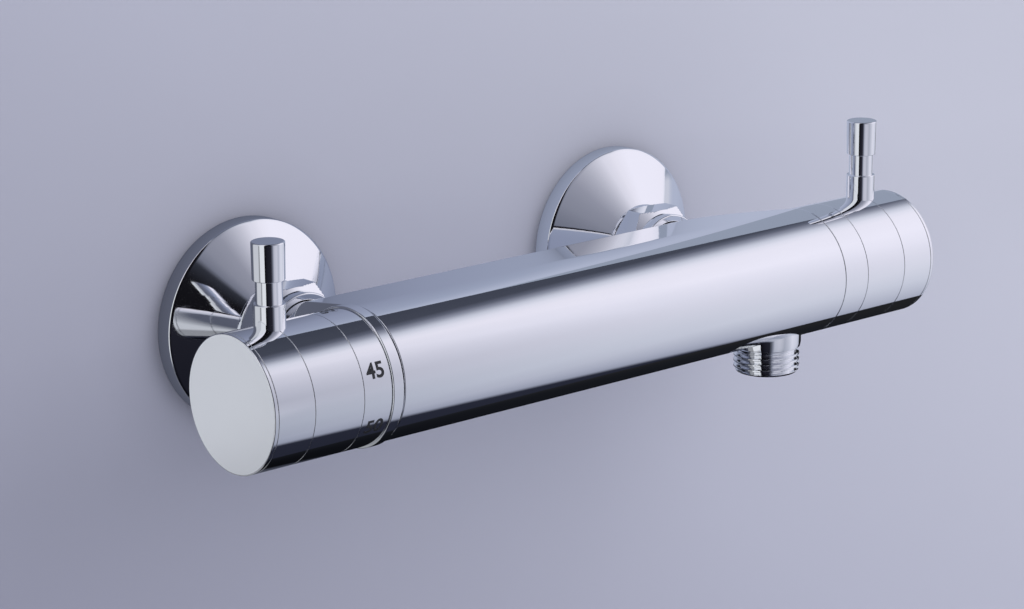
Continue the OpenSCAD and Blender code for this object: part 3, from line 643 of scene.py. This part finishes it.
# The fixed rings, by x
TRIM_LEFT = -92.3
TRIM_RIGHT = -88.6
TRIM_R = 20.6
TRIM_BORE_R = 18.3
TRIM_CORNER = 0.35
SCALE_LEFT = -102.2
SCALE_RIGHT = -92.4
PLAIN_LEFT = 92.1
PLAIN_RIGHT = 102.2
RING_BORE_R = 18.0


def make_rings():
    """The proud ring, the ring with the figures and the plain ring at the right."""
    trim = pipe(TRIM_LEFT, TRIM_RIGHT, TRIM_R, TRIM_BORE_R, TRIM_CORNER)
    scale = pipe(SCALE_LEFT, SCALE_RIGHT, BAR_R, RING_BORE_R, FINE_EDGE)
    plain = pipe(PLAIN_LEFT, PLAIN_RIGHT, BAR_R, RING_BORE_R, FINE_EDGE)
    piece("gap_ring", along_bar(Shape(), trim), "root", ["trim_ring"])
    piece("figure_ring", along_bar(Shape(), scale), "root", ["scale_ring"], "satin_chrome", ["chrome"])
    piece("plain_ring", along_bar(Shape(), plain), "root", ["flow_ring"])


# The handles, by the distance from the middle of the bar
SLEEVE_START = 102.3
SLEEVE_END = 119.3
TIP_START = 119.4
TIP_END = 131.8
HANDLE_BORE_R = 17.5
CAP_START = 131.9
CAP_END = 133.2
CAP_CORNER = 0.4
CAP_FACE_MARGIN = 0.2

# The levers, by the height above the bar's axis
LEVER_X = 119.35
LEVER_FOOT = 17.65
LEVER_R = 4.55
COLLAR_TOPS = {"temp": 26.6, "flow": 27.6}
WAIST_R = 3.8
WAIST_LENGTH = 6.6
WAIST_CORNER = 0.1
GRIP_LENGTH = 11.0
GRIP_LOW_R = 4.65
GRIP_LOW_CORNER = 0.3
GRIP_TOP_R = 4.8
LEVER_CORNER = 0.45


def lever_profile(top):
    """A straight foot up to top, a waist and a grip that widens slightly."""
    waist = top + WAIST_LENGTH
    end = waist + GRIP_LENGTH
    return [
        (LEVER_FOOT, 0), (LEVER_FOOT, LEVER_R), (top, LEVER_R, LEVER_CORNER), (top, WAIST_R, WAIST_CORNER),
        (waist, WAIST_R, WAIST_CORNER), (waist, GRIP_LOW_R, GRIP_LOW_CORNER),
        (end, GRIP_TOP_R, LEVER_CORNER), (end, 0),
    ]


def make_handle(kind, sign, body):
    """The sleeve, end, cap and lever of one handle."""
    def ring(start, end, name, node):
        profile = pipe(sign * start, sign * end, BAR_R, HANDLE_BORE_R, FINE_EDGE)
        piece(name, along_bar(Shape(), profile), body, [node])

    ring(SLEEVE_START, SLEEVE_END, f"{kind}_sleeve", f"{kind}_handle_sleeve")
    ring(TIP_START, TIP_END, f"{kind}_end", f"{kind}_handle_end")
    start, end = sign * CAP_START, sign * CAP_END
    profile = [(start, 0), (start, BAR_R, FINE_EDGE), (end, BAR_R, CAP_CORNER), (end, 0)]
    shape = along_bar(Shape(), profile, EDGE, False, BAR_R - CAP_FACE_MARGIN)
    piece(f"{kind}_cap", shape, body, [f"{kind}_handle_cap"], "chrome", ["chrome", "satin_chrome"])
    origin = Vector((sign * LEVER_X, BAR_Y, BAR_Z))
    shape = turned(Shape(), lever_profile(COLLAR_TOPS[kind]), origin, Z_AXIS, EDGE, False, AROUND // 2)
    piece(f"{kind}_stick", shape, body, [f"{kind}_lever"])


# Figures on the scale ring: text and its place in degrees above the front

FIGURES = {"50": -28.5, "45": 20, "38": 97, "30": 150, "20": 205}
FIGURE_SIZE = 6.3
FIGURE_X = -97.4
FIGURE_LIFT = 0.03
FIGURE_SINK = 0.25
FIGURE_BOLD = 0.15
FIGURE_STRIP = 0.35
FIGURE_STRIPS = 10


def flat_figure(text):
    """A flat figure as a mesh, cut into strips so that it can bend."""
    curve = bpy.data.curves.new("figure", "FONT")
    curve.body = text
    curve.size = FIGURE_SIZE
    curve.align_x = "CENTER"
    curve.align_y = "CENTER"
    curve.offset = FIGURE_BOLD
    curve.extrude = (FIGURE_LIFT + FIGURE_SINK) / 2
    flat = bpy.data.objects.new("figure", curve)
    bpy.context.scene.collection.objects.link(flat)
    bpy.context.view_layer.update()
    mesh = bpy.data.meshes.new_from_object(flat.evaluated_get(bpy.context.evaluated_depsgraph_get()))
    bpy.data.objects.remove(flat)
    bpy.data.curves.remove(curve)
    figure = bmesh.new()
    figure.from_mesh(mesh)
    bpy.data.meshes.remove(mesh)
    for k in range(-FIGURE_STRIPS, FIGURE_STRIPS + 1):
        geometry = figure.verts[:] + figure.edges[:] + figure.faces[:]
        bmesh.ops.bisect_plane(figure, geom=geometry, plane_co=Y_AXIS * FIGURE_STRIP * k, plane_no=Y_AXIS)
    return figure


def make_figures():
    """Thin painted figures wrapped on the ring, read along the bar from the front."""
    joined = bmesh.new()
    for text, place in FIGURES.items():
        figure = flat_figure(text)
        copies = {}
        for v in figure.verts:
            angle = math.radians(place) + v.co.y / BAR_R
            r = BAR_R + FIGURE_LIFT if v.co.z > 0 else BAR_R - FIGURE_SINK
            point = Vector((FIGURE_X + v.co.x, BAR_Y - r * math.cos(angle), BAR_Z + r * math.sin(angle)))
            copies[v] = joined.verts.new(point * MM)
        for f in figure.faces:
            joined.faces.new([copies[v] for v in f.verts])
        figure.free()
    mesh = bpy.data.meshes.new("figures")
    joined.to_mesh(mesh)
    joined.free()
    mesh.materials.append(finishes["scale_paint"])
    made = bpy.data.objects.new("figures", mesh)
    bpy.context.scene.collection.objects.link(made)
    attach(made, "root")


make_body()
make_outlet()
make_union("hot", -INLET_X)
make_union("cold", INLET_X)
make_rings()
make_handle("temp", -1, "temperature_handle")
make_handle("flow", 1, "flow_handle")
make_figures()


# Stage: a pale board behind and a floor far below, in metres from here on

WALL_LEFT = -1.1
WALL_RIGHT = 1.3
WALL_LOW = -0.9
WALL_TOP = 0.17
FLOOR_HALF = 4.0

# The board's colour: painted light that makes it lighter to the right and top, by a mix of x and height,
# and painted shade beside what stands on it
WALL_FADE_X = 1.09
WALL_FADE_Z = 1.28
WALL_PAINTED_LIGHT = [
    (-1.0, (0.38, 0.385, 0.485)), (-0.30, (0.455, 0.46, 0.575)), (0.0, (0.665, 0.675, 0.805)),
    (0.25, (0.76, 0.77, 0.89)), (0.7, (0.77, 0.78, 0.88)), (1.0, (0.77, 0.78, 0.88)),
]
WALL_SHEEN = 0.15
CONTACT_REACH = 0.022
CONTACT_SHADE = 0.35
CONTACT_SAMPLES = 8

# The board's painted reflection, a glow that only the chrome sees, by x plus a share of the height, in
# units of BOARD_SPAN
BOARD_SPAN = 0.25
BOARD_LEAN = 0.45
PAINTED_BOARD_REFLECTION = [
    (-1.0, (0.57, 0.59, 0.64)), (-0.66, (0.57, 0.59, 0.64)), (-0.58, (0.10, 0.11, 0.15)),
    (-0.40, (0.12, 0.13, 0.18)), (-0.16, (0.20, 0.225, 0.32)), (0.0, (0.27, 0.30, 0.42)),
    (0.32, (0.34, 0.38, 0.51)), (0.58, (0.44, 0.48, 0.62)), (0.66, (0.44, 0.48, 0.62)),
    (1.0, (0.60, 0.62, 0.72)),
]

# Past its end, and above a slope that rises to the right, the painted reflection is darker
BOARD_END = 0.172
BOARD_END_SLOPE = 0.12
BOARD_END_LOW = -0.009
BOARD_END_HIGH = -0.004
BOARD_BEYOND = (0.30, 0.34, 0.44)

# Its low part is in shade, less so at the left
SHADOW_TOP = -0.045
SHADOW_LOW = -0.060
SHADOW_LEFT = -0.055
SHADOW_RIGHT = -0.030
SHADOW_SHARE = 0.5
SHADOW_DEPTH = 0.975

# A dark see-through sheet of painted shade in front, that only the chrome sees: what it lets through by x
# in units of its span, above and below the height of the bar
SHADE_SHEET_SPAN = 1.1
SHADE_SHEET_Y = -0.6
SHADE_SHEET_BOTTOM = -2.0
SHADE_SHEET_TOP = 3.0
SHADE_SHEET_HIGH = 0.05
SHADE_SHEET_LOW = -0.10
SHADE_SHEET_ABOVE = [
    (-1.0, (0.0, 0.0, 0.0)), (-0.29, (0.01, 0.01, 0.012)), (-0.205, (0.04, 0.045, 0.055)),
    (-0.17, (0.24, 0.26, 0.30)), (-0.09, (0.34, 0.36, 0.40)), (0.0, (0.38, 0.40, 0.44)),
    (0.045, (0.40, 0.42, 0.46)), (0.20, (0.60, 0.62, 0.65)), (0.44, (0.91, 0.92, 0.93)),
    (0.64, (1, 1, 1)),
]
SHADE_SHEET_BELOW = [
    (-1.0, (0.0, 0.0, 0.0)), (-0.26, (0.03, 0.03, 0.04)), (-0.18, (0.20, 0.21, 0.24)),
    (-0.127, (0.48, 0.50, 0.54)), (-0.08, (0.85, 0.86, 0.88)), (0.05, (0.97, 0.97, 0.98)),
    (0.14, (0.88, 0.89, 0.90)), (0.23, (0.70, 0.72, 0.75)), (0.44, (0.91, 0.92, 0.93)),
    (0.64, (1, 1, 1)),
]


def plane(name, corners, material):
    """A flat four-cornered piece of the stage."""
    mesh = bpy.data.meshes.new(name)
    mesh.from_pydata(corners, [], [(0, 1, 2, 3)])
    mesh.materials.append(material)
    made = bpy.data.objects.new(name, mesh)
    bpy.context.scene.collection.objects.link(made)
    return made


def math_node(nodes, links, operation, first, second):
    """One step of arithmetic on two values, each a number or a socket."""
    made = nodes.new("ShaderNodeMath")
    made.operation = operation
    for socket, value in zip(made.inputs, (first, second)):
        if isinstance(value, (int, float)):
            socket.default_value = value
        else:
            links.new(value, socket)
    return made.outputs["Value"]


def ramp_node(nodes, links, value, stops):
    """A colour ramp by a value from 0 to 1, whose stops are placed from -1 to 1."""
    made = nodes.new("ShaderNodeValToRGB")
    elements = made.color_ramp.elements
    for i, (place, colour) in enumerate(stops):
        stop = elements[i] if i < 2 else elements.new(1.0)
        stop.position = (place + 1) / 2
        stop.color = (*colour, 1)
    links.new(value, made.inputs["Fac"])
    return made.outputs["Color"]


def shader_mix(nodes, links, factor, first, second):
    """One shader or the other, by a socket."""
    made = nodes.new("ShaderNodeMixShader")
    for socket, value in zip(made.inputs, (factor, first, second)):
        links.new(value, socket)
    return made.outputs["Shader"]


def position_of(nodes, links):
    """The object coordinates, split into x, y and z."""
    place = nodes.new("ShaderNodeTexCoord")
    parts = nodes.new("ShaderNodeSeparateXYZ")
    links.new(place.outputs["Object"], parts.inputs["Vector"])
    return parts.outputs


def painted_board_reflection(nodes, links, place, painted_contact_shade):
    """Painted reflection of the board, with painted shade, glowing for the rays that come off the chrome.
    """
    lean = math_node(nodes, links, "MULTIPLY", place["Z"], BOARD_LEAN)
    along = math_node(nodes, links, "ADD", place["X"], lean)
    slope = math_node(nodes, links, "MULTIPLY", place["X"], BOARD_END_SLOPE)
    rise = math_node(nodes, links, "SUBTRACT", place["Z"], slope)
    over = map_node(nodes, links, rise, BOARD_END_LOW, BOARD_END_HIGH, 0, 1)
    past = math_node(nodes, links, "GREATER_THAN", along, BOARD_END)
    dark = math_node(nodes, links, "MULTIPLY", over, past)
    across = map_node(nodes, links, along, -BOARD_SPAN, BOARD_SPAN, 0, 1)
    painted_reflection = ramp_node(nodes, links, across, PAINTED_BOARD_REFLECTION)
    low = map_node(nodes, links, place["Z"], SHADOW_TOP, SHADOW_LOW, 0, SHADOW_DEPTH)
    inner = map_node(nodes, links, place["X"], SHADOW_LEFT, SHADOW_RIGHT, SHADOW_SHARE, 1)
    open_share = math_node(nodes, links, "SUBTRACT", 1.0, math_node(nodes, links, "MULTIPLY", low, inner))
    light = nodes.new("ShaderNodeEmission")
    links.new(mix_node(nodes, links, dark, painted_reflection, BOARD_BEYOND), light.inputs["Color"])
    links.new(math_node(nodes, links, "MULTIPLY", open_share, painted_contact_shade), light.inputs["Strength"])
    return light.outputs["Emission"]


def wall_finish():
    """Pale matt board with a faint mottle, painted light that makes it lighter to the right and top,
    painted shade beside what stands on it and a painted reflection for the chrome; seen from its front
    only.
    """
    material = finishes["wall"]
    nodes, links = material.node_tree.nodes, material.node_tree.links
    shader = nodes["Principled BSDF"]
    shader.inputs["Specular IOR Level"].default_value = WALL_SHEEN
    mottle = shader.inputs["Base Color"].links[0].from_socket
    place = position_of(nodes, links)
    # Painted light: the board's colour grows lighter to the right and to the top
    sideways = math_node(nodes, links, "MULTIPLY", place["X"], WALL_FADE_X)
    upward = math_node(nodes, links, "MULTIPLY", place["Z"], WALL_FADE_Z)
    painted_light_share = map_node(nodes, links, math_node(nodes, links, "ADD", sideways, upward), -1, 1, 0, 1)
    # Painted shade: the board is darker close to what stands on it, in its colour and in its painted
    # reflection
    near = nodes.new("ShaderNodeAmbientOcclusion")
    near.samples = CONTACT_SAMPLES
    near.inputs["Distance"].default_value = CONTACT_REACH
    painted_contact_shade = map_node(nodes, links, near.outputs["AO"], 0, 1, CONTACT_SHADE, 1)
    mottle_and_painted_light = ramp_node(nodes, links, painted_light_share, WALL_PAINTED_LIGHT)
    for other in (mottle, painted_contact_shade):
        mottle_and_painted_light = mix_node(nodes, links, 1.0, mottle_and_painted_light, other, "MULTIPLY")
    links.new(mottle_and_painted_light, shader.inputs["Base Color"])
    # The chrome sees the board's painted reflection, not its lit colour
    mirrored = nodes.new("ShaderNodeLightPath").outputs["Is Glossy Ray"]
    painted_reflection = painted_board_reflection(nodes, links, place, painted_contact_shade)
    front = shader_mix(nodes, links, mirrored, shader.outputs["BSDF"], painted_reflection)
    behind = nodes.new("ShaderNodeNewGeometry").outputs["Backfacing"]
    clear = nodes.new("ShaderNodeBsdfTransparent").outputs["BSDF"]
    links.new(shader_mix(nodes, links, behind, front, clear), nodes["Material Output"].inputs["Surface"])
    return material


def reflection_shade_finish():
    """Painted shade for the chrome: a dark see-through sheet that opens towards the right."""
    material = finishes["shade_sheet"]
    nodes, links = material.node_tree.nodes, material.node_tree.links
    place = position_of(nodes, links)
    along = map_node(nodes, links, place["X"], -SHADE_SHEET_SPAN, SHADE_SHEET_SPAN, 0, 1)
    down = map_node(nodes, links, place["Z"], SHADE_SHEET_HIGH, SHADE_SHEET_LOW, 0, 1)
    above = ramp_node(nodes, links, along, SHADE_SHEET_ABOVE)
    below = ramp_node(nodes, links, along, SHADE_SHEET_BELOW)
    clear = nodes.new("ShaderNodeBsdfTransparent")
    links.new(mix_node(nodes, links, down, above, below), clear.inputs["Color"])
    links.new(clear.outputs["BSDF"], nodes["Material Output"].inputs["Surface"])
    return material


def make_stage():
    """The board, the floor, and the sheet of painted shade that only the chrome sees."""
    plane("wall", [(WALL_LEFT, 0, WALL_LOW), (WALL_RIGHT, 0, WALL_LOW),
                   (WALL_RIGHT, 0, WALL_TOP), (WALL_LEFT, 0, WALL_TOP)], wall_finish())
    floor = plane("floor", [(-FLOOR_HALF, -FLOOR_HALF, WALL_LOW), (FLOOR_HALF, -FLOOR_HALF, WALL_LOW),
                            (FLOOR_HALF, FLOOR_HALF, WALL_LOW), (-FLOOR_HALF, FLOOR_HALF, WALL_LOW)],
                  finishes["floor"])
    floor.visible_glossy = False
    shade_sheet = plane("shade_sheet", [(-SHADE_SHEET_SPAN, SHADE_SHEET_Y, SHADE_SHEET_BOTTOM), (SHADE_SHEET_SPAN, SHADE_SHEET_Y, SHADE_SHEET_BOTTOM),
                        (SHADE_SHEET_SPAN, SHADE_SHEET_Y, SHADE_SHEET_TOP), (-SHADE_SHEET_SPAN, SHADE_SHEET_Y, SHADE_SHEET_TOP)], reflection_shade_finish())
    for sense in ("visible_camera", "visible_diffuse", "visible_transmission", "visible_shadow"):
        setattr(shade_sheet, sense, False)


# What the chrome mirrors, by the angle above the front, in degrees
STUDIO = [
    (-180, (0.014, 0.016, 0.028)), (-89, (0.018, 0.020, 0.034)), (-82, (0.28, 0.30, 0.386)),
    (-71, (0.355, 0.375, 0.465)), (-41, (0.51, 0.53, 0.62)), (-21, (0.58, 0.59, 0.68)),
    (0, (0.65, 0.645, 0.74)), (20, (0.71, 0.70, 0.80)), (40, (0.755, 0.74, 0.84)),
    (65, (0.73, 0.715, 0.81)), (73, (0.67, 0.67, 0.765)), (81, (0.51, 0.53, 0.62)),
    (89, (0.25, 0.265, 0.335)), (97, (0.102, 0.112, 0.155)), (105, (0.050, 0.056, 0.080)),
    (180, (0.030, 0.035, 0.052)),
]

# Its brightness, by how far the direction leans to the right; a ramp holds no more than 1, so it
# takes the halves and the strength is doubled
LEANING = [(-1.0, 1.25), (-0.85, 1.25), (-0.5, 1.0), (0.2, 1.0), (0.6, 1.13), (0.73, 1.2), (1.0, 1.2)]

# Far to the left it has one plain tone
WING_START = -0.74
WING_FULL = -0.84
WING_COLOUR = (0.60, 0.62, 0.66)

# Its bright part widens to the right: the angles above and below the front are multiplied
# between these two leanings, and those above the front again where the direction leans back left
FAN_LEFT = 0.56
FAN_RIGHT = 0.75
FAN_ABOVE = (1.228, 0.795)
FAN_BELOW = (1.338, 0.696)
FAN_BACK_START = 0.0
FAN_BACK_FULL = -0.15
FAN_BACK = 0.66

# What lights the matt surfaces, and what the camera sees beside the board
AMBIENT_COLOUR = (0.62, 0.63, 0.66)
AMBIENT_STRENGTH = 1.02
SEEN_COLOUR = (0.60, 0.61, 0.70)


def background(nodes, colour, strength=1.0):
    """A background of one colour."""
    made = nodes.new("ShaderNodeBackground")
    made.inputs["Color"].default_value = (*colour, 1)
    made.inputs["Strength"].default_value = strength
    return made.outputs["Background"]


def studio_angle(nodes, links, way):
    """The angle above the front, fanned out, from 0 to 1 for the whole turn."""
    backward = math_node(nodes, links, "MULTIPLY", way["Y"], -1.0)
    angle = math_node(nodes, links, "ARCTAN2", way["Z"], backward)
    above = map_node(nodes, links, way["X"], FAN_LEFT, FAN_RIGHT, *FAN_ABOVE)
    below = map_node(nodes, links, way["X"], FAN_LEFT, FAN_RIGHT, *FAN_BELOW)
    back = map_node(nodes, links, way["X"], FAN_BACK_START, FAN_BACK_FULL, 1.0, FAN_BACK)
    above = math_node(nodes, links, "MULTIPLY", above, back)
    upper = math_node(nodes, links, "MULTIPLY", math_node(nodes, links, "MAXIMUM", angle, 0.0), above)
    lower = math_node(nodes, links, "MULTIPLY", math_node(nodes, links, "MINIMUM", angle, 0.0), below)
    return map_node(nodes, links, math_node(nodes, links, "ADD", upper, lower), -math.pi, math.pi, 0, 1)


def mirrored_studio(nodes, links):
    """The studio for the rays that come off the chrome."""
    place = nodes.new("ShaderNodeTexCoord")
    parts = nodes.new("ShaderNodeSeparateXYZ")
    links.new(place.outputs["Generated"], parts.inputs["Vector"])
    way = parts.outputs
    stops = [(degrees / 180, colour) for degrees, colour in STUDIO]
    tone = ramp_node(nodes, links, studio_angle(nodes, links, way), stops)
    wing = map_node(nodes, links, way["X"], WING_START, WING_FULL, 0, 1)
    halves = [(lean, (level / 2,) * 3) for lean, level in LEANING]
    half = ramp_node(nodes, links, map_node(nodes, links, way["X"], -1, 1, 0, 1), halves)
    made = nodes.new("ShaderNodeBackground")
    links.new(mix_node(nodes, links, wing, tone, WING_COLOUR), made.inputs["Color"])
    links.new(math_node(nodes, links, "MULTIPLY", half, 2.0), made.inputs["Strength"])
    return made.outputs["Background"]


def make_world():
    """The studio: one look for the chrome, one for the matt surfaces and one for the camera."""
    world = bpy.data.worlds.new("studio")
    bpy.context.scene.world = world
    world.use_nodes = True
    nodes, links = world.node_tree.nodes, world.node_tree.links
    nodes.clear()
    rays = nodes.new("ShaderNodeLightPath").outputs
    ambient = background(nodes, AMBIENT_COLOUR, AMBIENT_STRENGTH)
    unseen = shader_mix(nodes, links, rays["Is Glossy Ray"], ambient, mirrored_studio(nodes, links))
    whole = shader_mix(nodes, links, rays["Is Camera Ray"], unseen, background(nodes, SEEN_COLOUR))
    links.new(whole, nodes.new("ShaderNodeOutputWorld").inputs["Surface"])


# Soft square lights: place, target, size, watts, colour and spread in degrees
LIGHTS = {
    "side": ((-1.1, -0.16, 0.05), (-0.1332, -0.073, -0.0075), 0.12, 0.012, (0.97, 0.99, 1.0), 10),
    "key": ((0.65, -1.2, 0.8), (0.05, 0, 0), 1.0, 4.5, (1.0, 0.98, 0.97), 180),
}


def soft_light(name, place, target, size, watts, colour, spread):
    """A soft square light that the chrome doesn't mirror."""
    light = bpy.data.lights.new(name, "AREA")
    light.shape = "SQUARE"
    light.size = size
    light.energy = watts
    light.color = colour
    light.spread = math.radians(spread)
    made = bpy.data.objects.new(name, light)
    made.location = place
    way = Vector(target) - Vector(place)
    made.rotation_euler = way.to_track_quat("-Z", "Y").to_euler()
    made.visible_glossy = False
    bpy.context.scene.collection.objects.link(made)


# Camera

CAMERA_TURN = math.radians(41.1533)
CAMERA_DIP = math.radians(14.6901)
CAMERA_ROLL = math.radians(-0.33055)
CAMERA_PLACE = Vector((-0.6274, -0.7559, 0.2407))
FOCAL_PIXELS = 3184.026
PICTURE_WIDTH = 1024
SENSOR = 36.0
CLIP_START = 0.05
CLIP_END = 50


def make_camera():
    """The photo's camera, as it was fitted to the photo."""
    data = bpy.data.cameras.new("camera")
    data.sensor_width = SENSOR
    data.lens = FOCAL_PIXELS / PICTURE_WIDTH * SENSOR
    data.clip_start = CLIP_START
    data.clip_end = CLIP_END
    camera = bpy.data.objects.new("camera", data)
    bpy.context.scene.collection.objects.link(camera)
    way = Vector((math.sin(CAMERA_TURN) * math.cos(CAMERA_DIP),
                  math.cos(CAMERA_TURN) * math.cos(CAMERA_DIP), -math.sin(CAMERA_DIP)))
    right = Vector((math.cos(CAMERA_TURN), -math.sin(CAMERA_TURN), 0))
    up = right.cross(way)
    turned_right = right * math.cos(CAMERA_ROLL) + up * math.sin(CAMERA_ROLL)
    turned_up = up * math.cos(CAMERA_ROLL) - right * math.sin(CAMERA_ROLL)
    matrix = Matrix((turned_right, turned_up, -way)).transposed().to_4x4()
    matrix.translation = CAMERA_PLACE
    camera.matrix_world = matrix
    bpy.context.scene.camera = camera


make_stage()
make_world()
for name, values in LIGHTS.items():
    soft_light(name, *values)
make_camera()
bpy.context.scene.view_settings.view_transform = "Standard"
